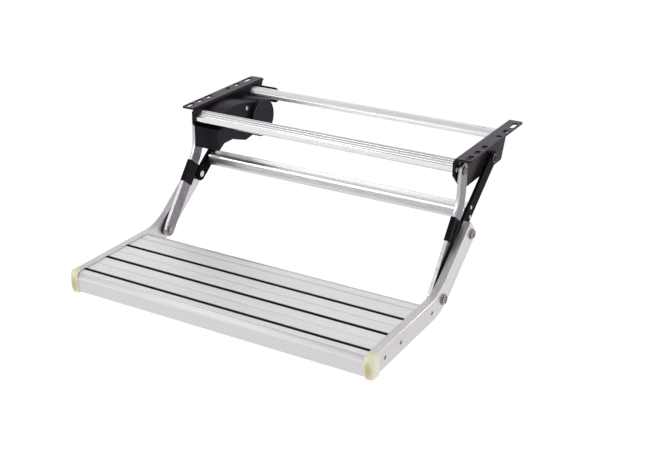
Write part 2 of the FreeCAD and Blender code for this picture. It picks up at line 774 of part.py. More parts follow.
# End caps
def end_cap():
    """Soft-edged plastic corner over the nose end, with a plug in the channel's open front end."""
    outer = side_x + cap_side
    inner = outer - cap_inner
    high = tread_z + channel_above + cap_rise
    channel_low = tread_z + channel_above - channel_height
    low = channel_low - cap_drop
    front = nose_y - cap_front
    back = nose_y + cap_back
    cap = brick(inner, outer, front, back, low, high)
    cap = cap.makeFillet(cap_edge_round, [edge for edge in cap.Edges if abs(edge.Length - back + front) < 0.001])
    cap = cap.makeFillet(cap_front_round, edges_at(cap, "y", front))
    mouth = nose_y + channel_front - seat_gap
    cap = cap.cut([
        brick(inner - past, plank_end + seat_gap, nose_y - seat_gap, back + past,
              tread_z - nose_height - seat_gap, high + past),
        brick(channel_inner - seat_gap, side_x + seat_gap, mouth, back + past, channel_low - seat_gap,
              high + past)])
    sides = (channel_inner + channel_inner_wall + cap_plug_fit, channel_web - cap_plug_fit)
    heights = (channel_low + channel_wall + cap_plug_fit, channel_low + channel_height - channel_wall - cap_plug_fit)
    plug = brick(sides[0], sides[1], mouth - past, mouth + cap_plug_reach, heights[0], heights[1])
    hollow = brick(sides[0] + cap_plug_wall, sides[1] - cap_plug_wall, mouth, mouth + cap_plug_reach + past,
                   heights[0] + cap_plug_wall, heights[1] - cap_plug_wall)
    return cap.fuse(plug).cut(hollow)


# Pivot fasteners, drawn for the right-hand side
def shoulder_bolt(centre, x_from, x_seat, head_height):
    """Domed bolt whose head stands on x_seat and whose shank reaches x_from."""
    head = pan_head(centre, x_seat, bolt_head_radius, head_height)
    return head.fuse(rod(centre, bolt_radius, x_from, x_seat))


def nut(centre, x_from, x_to):
    """Hexagon nut round a shank."""
    corners = [polar(centre, bolt_head_radius * nut_share, 60 * k) + (0,) for k in range(6)]
    return slab(rounded(corners), x_from, x_to).cut(rod(centre, bolt_radius, x_from - past, x_to + past))


def washer(centre, radius, x_from, x_to):
    return ring(centre, radius, bolt_radius + seat_gap, x_from, x_to)


def arm_pivot_bolt():
    """Shouldered pin riveted flush in the web, since the front bar's end lies behind it."""
    return shoulder_bolt(arm_pivot, web_inner, arm_bolt_seat, bolt_head_height)


def knee_pivot_bolt():
    """Bolt through channel, spacer and arm, with a riveted head inside."""
    inside = arm_inner - thrust_gap
    bolt = shoulder_bolt(knee_pivot, inside, washer_face, end_head_height)
    return bolt.fuse(rod(knee_pivot, rivet_head_radius, inside - rivet_head_height, inside))


def leg_pivot_bolt():
    """Outer part of the leg pivot, which ends just short of the stud in the rear link."""
    return shoulder_bolt(leg_pivot, leg_pin_start, washer_face, end_head_height)


def leg_pivot_stud():
    """Inner part of the leg pivot, riveted in the rear link."""
    stud = rod(leg_pivot, bolt_radius + pin_clearance, link_inner, link_outer + link_rivet_height)
    return stud.fuse(rod(leg_pivot, rivet_head_radius, link_inner - rivet_head_height, link_inner))


def spacer(centre, x_from):
    """Bush that holds the channel's web off the bar beside it."""
    return ring(centre, bolt_radius + spacer_wall, bolt_radius + seat_gap, x_from, channel_web)


# Drive on the inner face of the left web
def depth(distance):
    """X of a place that far inwards from the left web's inner face."""
    return -web_inner + distance


def shrunk(points, inset):
    """Outline points moved inwards by a wall; they run clockwise with +Y to the right."""
    result = []
    for i, (y, z, radius) in enumerate(points):
        following = points[(i + 1) % len(points)]
        back = V(0, y - points[i - 1][0], z - points[i - 1][1]).normalize()
        ahead = V(0, following[0] - y, following[1] - z).normalize()
        share = inset / (1 + back.dot(ahead))
        convex = back.y * ahead.z < back.z * ahead.y
        corner = radius - inset if convex else radius + inset
        result.append((y + share * (back.z + ahead.z), z - share * (back.y + ahead.y), max(corner, 0)))
    return result


def case_solid(inset):
    """Housing volume; inset gives the hollow inside one wall thickness."""
    start = depth(-past if inset else 0.0)
    case_end = depth(gear_case_depth - inset)
    case = slab(rounded(shrunk(gear_case_section, inset)), start, case_end)
    if not inset:
        case = case.makeFillet(gear_case_rim, edges_at(case, "x", case_end))
    corner = box_corner - inset / 2
    box = slab(rounded([
        (box_front + inset, box_bottom + inset, corner), (box_chamfer_y, box_chamfer_z + inset, 0),
        (box_rear - inset, box_chamfer_z + inset, 0), (box_rear - inset, box_top - inset, corner),
        (box_front + inset, box_top - inset, corner)]), start, depth(housing_depth - inset))
    drum_end = cap_inside + (past if inset else 0.0)
    drum = rod(cap_centre, drum_radius - inset, start, depth(drum_end))
    return case.fuse([box, drum])


def back_slice(x_from, x_to):
    """Box round all of the housing between two planes."""
    return brick(x_from, x_to, box_front - past, cap_centre[0] + drum_radius + past,
                 cap_centre[1] - drum_radius - past, 0)


def drive_housing():
    open_back = back_slice(depth(-past), depth(housing_back_thickness))
    shell = case_solid(0).cut([case_solid(housing_wall), open_back])
    post = rod(screw_block, screw_block_radius, depth(housing_back_thickness), depth(gear_case_depth - past))
    shell = shell.fuse(post)
    lid_room = brick(depth(lid_from - seat_gap), depth(lid_from + lid_width + seat_gap), box_front - past,
                     box_front + lid_thickness, lid_low - seat_gap, lid_low + lid_height + seat_gap)
    gland_room = Part.makeCylinder(gland_radius, 4 * housing_wall,
                                   V(depth(gland_depth), gland_y, box_chamfer_z - housing_wall))
    cap_room = rod(cap_centre, drum_radius + seat_gap, depth(cap_inside),
                   depth(housing_depth + past))
    screw_room = rod(screw_block, small_screw_radius, depth(-past), depth(gear_case_depth + past))
    return shell.cut([lid_room, gland_room, cap_room, screw_room])


def housing_back():
    """Flat back of the housing, between it and the web, with the shaft's hole."""
    plate = case_solid(0).common(back_slice(depth(0), depth(housing_back_thickness)))
    plate = plate.cut(rod(link_pivot, bush_radius, depth(-past), depth(housing_depth)))
    plate = plate.cut(rod(screw_block, small_screw_radius, depth(-past), depth(housing_depth)))
    for centre, head_radius in front_bar_screws + rear_bar_screws:
        plate = plate.cut(rod(centre, small_screw_radius + seat_gap, depth(-past), depth(housing_depth)))
    return plate


def housing_cap():
    """Round cover over the shaft end, with the inner shaft bearing's boss."""
    plate = rod(cap_centre, drum_radius, depth(cap_inside), depth(housing_depth))
    plate = plate.makeFillet(cap_edge, edges_at(plate, "x", depth(housing_depth)))
    boss = ring(link_pivot, bush_radius + boss_wall, bush_radius, depth(cap_inside - boss_height),
                depth(cap_inside))
    return plate.fuse(boss)


def housing_lid():
    return brick(depth(lid_from), depth(lid_from + lid_width), box_front - lid_proud,
                 box_front + lid_thickness, lid_low, lid_low + lid_height)


def housing_screw():
    face = depth(gear_case_depth)
    screw = pan_head(screw_block, face, small_head_radius, small_head_height)
    screw = screw.cut(cross_recess(screw_block, face + small_head_height, small_head_radius, recess_depth))
    return screw.fuse(rod(screw_block, small_screw_radius, depth(0), face))


def gear(centre, teeth, x_from, x_to, turn):
    """Spur gear with straight-flanked teeth; turn is the angle of one tooth."""
    pitch_radius = gear_module * teeth / 2
    tip = pitch_radius + gear_module * addendum_share
    root = pitch_radius - gear_module * dedendum_share
    half = math.degrees((math.pi * gear_module / 2 - tooth_backlash) / 2 / pitch_radius)
    slope = math.degrees(gear_module * math.tan(math.radians(pressure_angle)) / pitch_radius)
    foot = half + slope * root_share
    crest = half - slope
    points = []
    for k in range(teeth):
        middle = turn + 360 * k / teeth
        for radius, offset in ((root, -foot), (tip, -crest), (tip, crest), (root, foot)):
            points.append(polar(centre, radius, middle + offset) + (0,))
    return slab(rounded(points), x_from, x_to)


def output_gear():
    wheel = gear(link_pivot, output_teeth, depth(gear_web_gap), depth(gear_web_gap + gear_face),
                 pinion_direction)
    return wheel.cut(rod(link_pivot, shaft_radius, depth(0), depth(housing_depth)))


def output_shaft():
    """Drive shaft, riveted through the left rear link with a head outside it."""
    shaft = rod(link_pivot, shaft_radius, -link_inner, depth(cap_inside - seat_gap - seat_gap))
    spigot = rod(link_pivot, bolt_radius + pin_clearance, -link_outer, -link_inner)
    head = rod(link_pivot, washer_radius, -link_outer - shaft_head_height, -link_outer)
    head = head.makeFillet(shaft_head_round, edges_at(head, "x", -link_outer - shaft_head_height))
    return shaft.fuse([spigot, head])


def shaft_bushes():
    """Plain bushes in the left web and in the cap's boss."""
    bore = shaft_radius + pin_clearance
    flange_end = depth(gear_web_gap - thrust_gap)
    web_bush = ring(link_pivot, bush_radius, bore, -web_outer - bush_out, flange_end)
    flange = ring(link_pivot, bush_radius + bush_flange, bore, depth(housing_back_thickness), flange_end)
    cap_bush = ring(link_pivot, bush_radius, bore, depth(cap_inside - boss_height),
                    depth(cap_inside - seat_gap))
    return Part.makeCompound([web_bush.fuse(flange), cap_bush])


def drive_motor():
    """Sealed flat-sided motor can with its sealed reduction head, one unit."""
    low = box_chamfer_z + housing_wall + motor_rest
    high = box_top - housing_wall - motor_rest
    radius = (high - low) / 2
    reach = motor_width / 2 - radius
    start = box_front + motor_from_front
    can_x = depth(head_from + motor_inwards)
    can = brick(can_x - reach, can_x + reach, start, start + motor_length, low, high)
    for x in (can_x - reach, can_x + reach):
        can = can.fuse(Part.makeCylinder(radius, motor_length, V(x, start, (low + high) / 2), V(0, 1, 0)))
    head = brick(depth(head_from), depth(head_from + head_thickness), start + motor_length - motor_overlap,
                 pinion_centre[0] + head_behind_pinion, low, low + head_height)
    unit = can.fuse(head).removeSplitter()
    return unit.cut(rod(pinion_centre, pinion_stub + pin_clearance, depth(head_from - past),
                        depth(head_from + stub_in_head + past)))


def drive_pinion():
    """Pinion with the stub of its shaft in the reduction head."""
    turn = pinion_direction + 180 + 180 / pinion_teeth
    start = depth(gear_web_gap + pinion_short)
    teeth = gear(pinion_centre, pinion_teeth, start, depth(gear_web_gap + gear_face - pinion_short), turn)
    return teeth.fuse(rod(pinion_centre, pinion_stub, start, depth(head_from + stub_in_head)))


def control_board():
    """Circuit board on edge behind the front lid."""
    y = box_front + housing_wall + board_rest
    return brick(depth(housing_back_thickness + board_edge), depth(housing_depth - housing_wall - board_edge),
                 y, y + board_thickness, box_chamfer_z + housing_wall, box_top - housing_wall - board_rest)


def limit_switch():
    """Microswitch on the housing's back, just below the output gear."""
    wide, long, tall = switch_size
    start = link_pivot_y - switch_ahead
    low = link_pivot_z - switch_drop
    return brick(depth(housing_back_thickness), depth(housing_back_thickness + wide), start, start + long,
                 low, low + tall)


def cable_gland():
    """Round cable inlet in the floor of the control box."""
    outlet = V(depth(gland_depth), gland_y, box_chamfer_z - gland_out)
    length = gland_out + housing_wall
    flange_low = outlet + V(0, 0, gland_out - gland_flange)
    flange = Part.makeCylinder(gland_radius + gland_rim, gland_flange, flange_low)
    barrel = Part.makeCylinder(gland_radius - seat_gap / 2, length, outlet)
    bore = Part.makeCylinder(gland_bore, length + 2 * past, outlet - V(0, 0, past))
    return flange.fuse(barrel).cut(bore)


def guard_plate():
    """Bent plate behind the rear bar, held to the left web by its foot."""
    plate = brick(depth(0), depth(guard_width), guard_back - guard_thickness, guard_back,
                  guard_bottom, guard_top)
    outer = [edge for edge in edges_at(plate, "x", depth(guard_width))
             if abs(edge.Length - guard_thickness) < 0.001]
    plate = plate.makeFillet(guard_corner, outer)
    foot = brick(depth(0), depth(guard_thickness), guard_back - guard_foot, guard_back,
                 guard_bottom + guard_foot_lift, guard_top - guard_foot_drop)
    return plate.fuse(foot)


# The finished pieces by name
nodes = {
    "right_bracket": right_bracket(),
    "front_cross_bar": front_cross_bar(),
    "rear_cross_bar": rear_cross_bar(),
    "bar_screws": bar_screws(),
    "right_front_arm": front_arm(),
    "right_arm_sleeve": arm_sleeve(),
    "right_rear_link": rear_link(),
    "middle_cross_bar": middle_cross_bar(),
    "right_bar_end": bar_end(),
    "bar_end_rivets": bar_end_rivets(),
    "right_side_channel": side_channel(),
    "front_plank": plank(0.0, plank_seams[0] - seat_gap / 2, True),
    "middle_plank": plank(plank_seams[0] + seat_gap / 2, plank_seams[1] - seat_gap / 2, False),
    "rear_plank": plank(plank_seams[1] + seat_gap / 2, tread_depth, False),
    "rear_rail": rear_rail(),
    "front_grip_strip": grip_strip(strip_places[0]),
    "middle_grip_strip": grip_strip(strip_places[1]),
    "rear_grip_strip": grip_strip(strip_places[2]),
    "right_end_cap": end_cap(),
    "plank_screws": plank_screws(),
    "arm_pivot_bolts": both(arm_pivot_bolt()),
    "arm_pivot_washers": both(washer(arm_pivot, bolt_head_radius, web_outer, arm_inner - thrust_gap)),
    "knee_pivot_bolts": both(knee_pivot_bolt()),
    "knee_washers": both(washer(knee_pivot, washer_radius, side_x, washer_face)),
    "knee_spacers": both(spacer(knee_pivot, arm_outer + thrust_gap)),
    "leg_pivot_bolts": both(leg_pivot_bolt()),
    "leg_washers": both(washer(leg_pivot, washer_radius, side_x, washer_face)),
    "leg_spacers": both(spacer(leg_pivot, leg_pin_start)),
    "leg_pivot_studs": both(leg_pivot_stud()),
    "link_pivot_bolt": shoulder_bolt(link_pivot, web_inner - nut_height, link_bolt_seat, bolt_head_height),
    "link_pivot_washer": washer(link_pivot, washer_radius, web_outer, link_inner - thrust_gap),
    "link_pivot_nut": nut(link_pivot, web_inner - nut_height, web_inner),
    "drive_housing": drive_housing(),
    "housing_back": housing_back(),
    "housing_cap": housing_cap(),
    "housing_lid": housing_lid(),
    "housing_screw": housing_screw(),
    "output_gear": output_gear(),
    "output_shaft": output_shaft(),
    "shaft_bushes": shaft_bushes(),
    "drive_motor": drive_motor(),
    "drive_pinion": drive_pinion(),
    "control_board": control_board(),
    "limit_switch": limit_switch(),
    "cable_gland": cable_gland(),
    "guard_plate": guard_plate(),
}
for name in ("bracket", "front_arm", "arm_sleeve", "rear_link", "bar_end", "side_channel", "end_cap"):
    nodes["left_" + name] = mirrored(nodes["right_" + name])

# The drive shaft's bush makes the left web's hole larger than the right one's
right_hole = rod(link_pivot, bolt_radius + pin_clearance, web_inner - past, web_outer + past)
left_hole = rod(link_pivot, bush_radius, -web_outer - past, -web_inner + past)
nodes["right_bracket"] = nodes["right_bracket"].cut(right_hole)
nodes["left_bracket"] = nodes["left_bracket"].cut(left_hole)

os.makedirs("parts", exist_ok=True)
for name, shape in nodes.items():
    if not shape.isValid():
        print("not valid:", name)
    shape.exportStep(os.path.join("parts", name + ".step"))
    box = shape.BoundBox
    print(f"{name:20s} solids {len(shape.Solids):2d}  volume {shape.Volume / 1000:8.2f} cm3"
          f"  x {box.XMin:7.1f} {box.XMax:7.1f}  y {box.YMin:7.1f} {box.YMax:7.1f}"
          f"  z {box.ZMin:7.1f} {box.ZMax:7.1f}")
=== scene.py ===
# %% [markdown]
# # A powered entry step for a caravan
#
# The real thing hangs under the floor beside the door. Two black brackets carry two bright
# cross bars and a drive unit. Front arms and rear links swing a ribbed aluminium tread out.
# The shapes and the moving bodies come from an engineering model, which is loaded here and
# never changed. This lesson softens its edges, builds the finer pieces, and makes every finish
# from Blender's own noise and math nodes.

# %% Load the engineering model as a fixed frame
import math

import bmesh
import bpy
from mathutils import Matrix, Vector


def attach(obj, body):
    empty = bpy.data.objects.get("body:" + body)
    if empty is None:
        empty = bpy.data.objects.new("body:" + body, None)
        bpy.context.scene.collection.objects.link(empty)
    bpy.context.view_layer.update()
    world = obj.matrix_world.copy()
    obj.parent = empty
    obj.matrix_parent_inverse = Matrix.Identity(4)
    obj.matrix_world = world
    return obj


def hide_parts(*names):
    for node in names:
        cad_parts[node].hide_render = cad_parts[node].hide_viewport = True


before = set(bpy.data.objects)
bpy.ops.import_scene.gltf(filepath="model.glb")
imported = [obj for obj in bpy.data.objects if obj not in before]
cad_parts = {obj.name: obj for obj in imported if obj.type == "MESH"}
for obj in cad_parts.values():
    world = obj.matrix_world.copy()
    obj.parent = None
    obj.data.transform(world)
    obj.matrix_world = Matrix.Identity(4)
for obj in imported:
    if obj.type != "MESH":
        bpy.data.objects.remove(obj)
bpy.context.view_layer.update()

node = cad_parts

# %% [markdown]
# ## The camera
#
# The picture was taken from the front and a little to the right, about 24 degrees above the
# level, with a long lens from under two metres away. The camera could be placed by eye, but
# the three pivots on each side give its place exactly, so it is typed in as a place, two
# angles and a focal length. Depth of field stays off because the whole step is sharp.

# %% Put the camera where the photographer stood
MM = 0.001
camera_place = Vector((900.4, -1629.2, 602.3)) * MM
camera_turn = math.radians(30.12)
camera_dip = math.radians(24.25)
picture_width = 665
focal_length = 1123.4
film_width = 36

looking = Vector((-math.sin(camera_turn) * math.cos(camera_dip),
                  math.cos(camera_turn) * math.cos(camera_dip), -math.sin(camera_dip)))
camera = bpy.data.objects.new("camera", bpy.data.cameras.new("camera"))
camera.location = camera_place
camera.rotation_euler = looking.to_track_quat("-Z", "Y").to_euler()
camera.data.sensor_width = film_width
camera.data.lens = focal_length * film_width / picture_width
camera.data.clip_start = 0.05
bpy.context.scene.collection.objects.link(camera)
bpy.context.scene.camera = camera

# %% [markdown]
# ## Meshes from plain lists
#
# Everything built below starts as a list of corners and a list of faces. One helper turns
# such lists into an object. It also keeps the corners in the frame's own metres, so that a
# finish which reads object coordinates lines up on the new pieces and on the loaded ones.
# Faces are shaded smooth, and an edge sharper than 34 degrees is marked to stay crisp.

# %% A helper that makes a mesh object
crisp_from = math.radians(34)


def mark_crisp(mesh, smooth=True):
    shell = bmesh.new()
    shell.from_mesh(mesh)
    bmesh.ops.recalc_face_normals(shell, faces=shell.faces)
    for face in shell.faces:
        face.smooth = smooth
    for edge in shell.edges:
        edge.smooth = edge.calc_face_angle(0) < crisp_from
    shell.to_mesh(mesh)
    shell.free()


def piece_from(name, corners, faces, smooth=True, paints=None):
    """Corners in mm; paints gives each face the number of its material."""
    mesh = bpy.data.meshes.new(name)
    mesh.from_pydata([Vector(c) * MM for c in corners], [], faces)
    if paints:
        mesh.polygons.foreach_set("material_index", paints)
    mesh.update()
    mark_crisp(mesh, smooth)
    made = bpy.data.objects.new(name, mesh)
    bpy.context.scene.collection.objects.link(made)
    return made


# %% [markdown]
# ## A white studio
#
# The step was photographed on white with soft light from all sides and a little more from
# above. Here a pale floor lies well below it, out of the way of the folding tread, and a pale
# sky and five large lamps do the rest. Large lamps give the bright metal broad soft
# reflections. Small ones would give it hard white spots. The floor gives off some light of its
# own: that keeps it as white as the picture's ground, where stronger lamps would bleach the
# metal.

# %% Floor
floor_drop = 900
floor_reach = 40000
floor_corners = [(x * floor_reach, y * floor_reach, -floor_drop)
                 for x, y in ((-1, -1), (1, -1), (1, 1), (-1, 1))]
floor = piece_from("floor", floor_corners, [(0, 1, 2, 3)], smooth=False)
floor_finish = bpy.data.materials.new("pale_floor")
floor_finish.use_nodes = True
floor_look = {"Base Color": (0.3, 0.3, 0.3, 1), "Roughness": 0.9, "Specular IOR Level": 0.1,
              "Emission Color": (1, 1, 1, 1), "Emission Strength": 0.76}
for socket, value in floor_look.items():
    floor_finish.node_tree.nodes["Principled BSDF"].inputs[socket].default_value = value
floor.data.materials.append(floor_finish)
print("floor", floor_drop, "mm under the brackets")

# %% Sky
bpy.context.scene.view_settings.view_transform = "Standard"
sky = bpy.data.worlds.new("studio")
sky.use_nodes = True
tree = sky.node_tree
direction = tree.nodes.new("ShaderNodeTexCoord")
height = tree.nodes.new("ShaderNodeSeparateXYZ")
shade = tree.nodes.new("ShaderNodeValToRGB")
tree.links.new(direction.outputs["Generated"], height.inputs["Vector"])
tree.links.new(height.outputs["Z"], shade.inputs["Fac"])
tree.links.new(shade.outputs["Color"], tree.nodes["Background"].inputs["Color"])
level, zenith = shade.color_ramp.elements
level.position, level.color = 0.45, (1.0, 1.0, 1.0, 1)
zenith.position, zenith.color = 0.85, (0.50, 0.50, 0.51, 1)
tree.nodes["Background"].inputs["Strength"].default_value = 1.1
bpy.context.scene.world = sky
print("sky: white at the level, grey overhead")

# %% Lamps
lamps_aim = Vector((0, -0.18, -0.1))


def lamp(name, place, size, power):
    """A square lamp that looks at the tread; place and size in metres, power in watts."""
    light = bpy.data.lights.new(name, "AREA")
    light.size = size
    light.energy = power
    made = bpy.data.objects.new(name, light)
    made.location = place
    made.rotation_euler = (lamps_aim - Vector(place)).to_track_quat("-Z", "Y").to_euler()
    bpy.context.scene.collection.objects.link(made)
    return made


lamps = [lamp("left_of_camera", (-1.15, -2.25, 0.95), 1.0, 14),
         lamp("overhead", (0.9, 0.5, 2.6), 1.5, 12),
         lamp("behind_right", (1.5, 1.9, 0.95), 0.9, 13),
         lamp("far_right", (2.2, -0.05, 1.25), 0.8, 5),
         lamp("front_left", (-1.35, -1.55, 1.7), 0.8, 3)]
print("lamps:", [lit.name for lit in lamps])

# %% [markdown]
# ## Soft edges on the loaded nodes
#
# No real edge is perfectly sharp, and the thin white line along each aluminium edge in the
# photograph is light caught by its small radius. The loaded meshes have hard edges and flat
# faces cut into triangles. Three modifiers mend that without touching the mesh itself. The
# first joins the doubled corners, the second merges flat triangles into whole faces, and the
# third rolls the edges over. The widths differ, because a bent sheet is sharper than a bar.
# Blender narrows a bevel everywhere when one short edge has no room for it. The fine facets
# of the brackets' holes would do that, although the bevel fits round them, so there it is off.

# %% Join, flatten and round
same_place = 0.000001
flat_within = math.radians(0.5)
rolled_from = math.radians(32)


def soften(obj, width, segments):
    weld = obj.modifiers.new("join_corners", "WELD")
    weld.merge_threshold = same_place
    flatten = obj.modifiers.new("whole_faces", "DECIMATE")
    flatten.decimate_type = "DISSOLVE"
    flatten.angle_limit = flat_within
    roll = obj.modifiers.new("rolled_edges", "BEVEL")
    roll.width = width * MM
    roll.segments = segments
    roll.limit_method = "ANGLE"
    roll.angle_limit = rolled_from
    roll.harden_normals = True
    roll.use_clamp_overlap = "bracket" not in obj.name


edge_widths = {
    0.9: ["left_side_channel", "right_side_channel"],
    1.0: ["left_front_arm", "right_front_arm"],
    0.7: ["left_rear_link", "right_rear_link", "left_bar_end", "right_bar_end"],
    0.28: ["left_bracket", "right_bracket"],
    0.6: ["guard_plate", "drive_housing", "housing_lid"],
    0.45: ["rear_rail", "housing_cap", "housing_back", "drive_motor"],
    0.12: ["front_cross_bar", "rear_cross_bar", "middle_cross_bar"],
    0.1: ["front_plank", "middle_plank", "rear_plank"],
    0.3: ["left_arm_sleeve", "right_arm_sleeve", "cable_gland"]}
small_edge = 0.18
broad_edge = 0.5
width_of = {name: width for width, names in edge_widths.items() for name in names}
for name, obj in node.items():
    width = width_of.get(name, small_edge)
    soften(obj, width, 3 if width > broad_edge else 2)
print("softened", len(node), "nodes,", len(node) - len(width_of), "of them by", small_edge, "mm")

# %% [markdown]
# ## How a finish is made here
#
# Each finish is one Principled shader with a few nodes in front of it. Numbers that are the
# same all over, such as how metallic it is, are set on the shader itself. What varies, such
# as colour, roughness and relief, comes from noise in object coordinates, stretched along
# the way the piece was made. The helpers below only save typing.

# %% Helpers: a new finish, one node, one sum
def shader_of(material):
    return material.node_tree.nodes["Principled BSDF"]


def finish(name, colour, roughness, metallic=0.0):
    material = bpy.data.materials.new(name)
    material.use_nodes = True
    shader = shader_of(material)
    shader.inputs["Base Color"].default_value = (*colour, 1)
    shader.inputs["Roughness"].default_value = roughness
    shader.inputs["Metallic"].default_value = metallic
    material.diffuse_color = (*colour, 1)
    return material, material.node_tree, shader


def step(tree, kind, inputs, **settings):
    """Add one node, link or set its inputs in pairs, and hand it back."""
    made = tree.nodes.new("ShaderNode" + kind)
    for key, value in settings.items():
        setattr(made, key, value)
    for socket, value in inputs.items():
        if isinstance(value, bpy.types.NodeSocket):
            tree.links.new(value, made.inputs[socket])
        else:
            made.inputs[socket].default_value = value
    return made


def calc(tree, operation, *values):
    """One sum with up to three numbers or sockets."""
    return step(tree, "Math", dict(enumerate(values)), operation=operation).outputs["Value"]


def average(tree, first, second):
    return calc(tree, "MULTIPLY", calc(tree, "ADD", first, second), 0.5)


# %% Helpers: where a point is and which way it faces
def own_place(tree):
    """Object coordinates, in metres."""
    return step(tree, "TexCoord", {}).outputs["Object"]


def apart(tree, vector):
    """The X, Y and Z sockets of a vector."""
    return step(tree, "SeparateXYZ", {"Vector": vector}).outputs


def facing(tree, axis):
    """How far the surface looks along one axis, from -1 to 1."""
    return apart(tree, step(tree, "NewGeometry", {}).outputs["Normal"])[axis]


def place_on(tree, stretch, turn=(0, 0, 0)):
    """Object coordinates, scaled per metre by one number or by one for each axis."""
    scale = stretch if isinstance(stretch, tuple) else (stretch, stretch, stretch)
    mapped = step(tree, "Mapping", {"Vector": own_place(tree), "Scale": scale, "Rotation": turn})
    return mapped.outputs["Vector"]


# %% Helpers: noise, spread, colour and relief
usual_spread = (0.3, 0.7)
narrow_spread = (0.36, 0.64)
finest_spread = (0.38, 0.62)


def noise(tree, where, detail=3.0, rough=0.5):
    made = step(tree, "TexNoise", {"Vector": where, "Scale": 1.0, "Detail": detail,
                                   "Roughness": rough})
    return made.outputs["Fac"]


def between(tree, value, low, high, source=usual_spread):
    """Stretch a value from the source range to lie between low and high."""
    made = step(tree, "MapRange", {"Value": value, "From Min": source[0], "From Max": source[1],
                                   "To Min": low, "To Max": high})
    return made.outputs["Result"]


def two_colours(tree, value, dark, pale, source=usual_spread):
    made = step(tree, "ValToRGB", {"Fac": value})
    ends = made.color_ramp.elements
    ends[0].position, ends[1].position = source
    ends[0].color = (*dark, 1)
    ends[1].color = (*pale, 1)
    return made.outputs["Color"]


def mixed(tree, share, first, second):
    """The first colour where share is 0, the second where it is 1."""
    return step(tree, "Mix", {0: share, 6: first, 7: second}, data_type="RGBA").outputs[2]


def relief(tree, shader, height, depth, strength, before=None):
    """Bump of a real depth in metres, on top of an earlier one if there is one."""
    made = step(tree, "Bump", {"Height": height, "Distance": depth, "Strength": strength})
    if before is not None:
        tree.links.new(before, made.inputs["Normal"])
    tree.links.new(made.outputs["Normal"], shader.inputs["Normal"])
    return made.outputs["Normal"]


# %% [markdown]
# ## Anodised aluminium
#
# The bars, planks and channels are extrusions. The die leaves fine lines along their length,
# and the anodic layer turns the mirror into a pale satin. The lines run the way the metal
# left the die, so the noise is long along one axis and very fine across it. Bars and planks
# run across the doorway. The channels run front to back and are then bent upwards, so their
# lines have to follow the bend, and that gets its own step.

# %% Extrusions that run across the doorway
die_lines = (2600, 6)
broad_bands = (260, 2.5)
cloud_size = 9


def drawn_aluminium(name, across, dark, pale, gloss, depth):
    """across is a function of the tree: the place that the die lines vary over."""
    material, tree, shader = finish(name, pale, gloss, 1.0)
    lines = noise(tree, across(tree, *die_lines), detail=4.0)
    broad = noise(tree, across(tree, *broad_bands), detail=2.0)
    cloud = noise(tree, place_on(tree, cloud_size), detail=3.0)
    colour = two_colours(tree, average(tree, broad, cloud), dark, pale, finest_spread)
    tree.links.new(colour, shader.inputs["Base Color"])
    tree.links.new(between(tree, lines, gloss - 0.03, gloss + 0.04), shader.inputs["Roughness"])
    relief(tree, shader, lines, depth, 0.55)
    return material


def across_doorway(tree, fine, long):
    return place_on(tree, (long, fine, fine))


plank_extrusion = drawn_aluminium("anodised_plank", across_doorway, (0.765, 0.75, 0.765),
                                  (0.785, 0.77, 0.785), 0.46, 0.00001)
bar_extrusion = drawn_aluminium("anodised_bar", across_doorway, (0.75, 0.74, 0.75),
                                (0.79, 0.78, 0.79), 0.20, 0.000008)
rear_extrusion = drawn_aluminium("anodised_rear_bar", across_doorway, (0.78, 0.77, 0.78),
                                 (0.82, 0.81, 0.82), 0.40, 0.000008)
rail_extrusion = drawn_aluminium("anodised_rail", across_doorway, (0.59, 0.58, 0.59),
                                 (0.63, 0.62, 0.63), 0.30, 0.000008)
print("four extrusions that run across the doorway")

# %% [markdown]
# The planks need more than that. The ribs of the tread are knurled: small notches run along each
# crest and make it sparkle, through their relief and through a painted glint in the colour. The
# colour is painted darker in the valleys between the ribs, a painted shade, and lighter on the
# crests, a painted highlight. The nose below them is duller and painted darker, a painted shade.
# The notches could be cut into the mesh, but at a tenth of a millimetre they would need millions
# of faces, so these nodes build on the finish made above.
# How far a point lies under the tread's top tells crest, valley and nose apart.

# %% Knurled ribs, painted shade in the valleys and a darker matt nose
tread_top = -190.693
knurl_pitch = 3.3
knurl_depth = 0.00008


def by_depth(tree, deep, shallow, low, high):
    """From low at one depth under the tread's top to high at another, depths in mm."""
    heights = ((tread_top - deep) * MM, (tread_top - shallow) * MM)
    return between(tree, apart(tree, own_place(tree))["Z"], low, high, heights)


def feeding(socket):
    return socket.links[0].from_socket


def knurl(material):
    tree, shader = material.node_tree, shader_of(material)
    colour, gloss, grain = [feeding(shader.inputs[key]) for key in ("Base Color", "Roughness",
                                                                    "Normal")]
    crest = by_depth(tree, 0.45, 0.05, 0.0, 1.0)
    turns = calc(tree, "MULTIPLY", apart(tree, own_place(tree))["X"],
                 2 * math.pi / (knurl_pitch * MM))
    notches = calc(tree, "MULTIPLY", calc(tree, "SINE", turns), crest)
    relief(tree, shader, notches, knurl_depth, 0.8, grain)
    # Painted light and shade: the valleys between the ribs are darker, the crests lighter, and
    # the notches add a painted glint.
    painted_rib_light = between(tree, crest, 0.83, 1.11, (0, 1))
    painted_rib_light_and_glint = calc(tree, "MULTIPLY_ADD", notches, 0.07, painted_rib_light)
    # The nose is painted darker, a painted shade.
    painted_nose_shade = by_depth(tree, 5.5, 4.0, 0.81, 0.72)
    on_top = by_depth(tree, 1.6, 1.1, 0.0, 1.0)
    painted_shading = step(tree, "Mix", {0: on_top, 2: painted_nose_shade, 3: painted_rib_light_and_glint}, data_type="FLOAT")
    painted_colour = step(tree, "VectorMath", {0: colour, "Scale": painted_shading.outputs[0]}, operation="SCALE")
    tree.links.new(painted_colour.outputs[0], shader.inputs["Base Color"])
    matt = by_depth(tree, 1.8, 1.2, 0.62, 0.0)
    tree.links.new(calc(tree, "MAXIMUM", matt, gloss), shader.inputs["Roughness"])


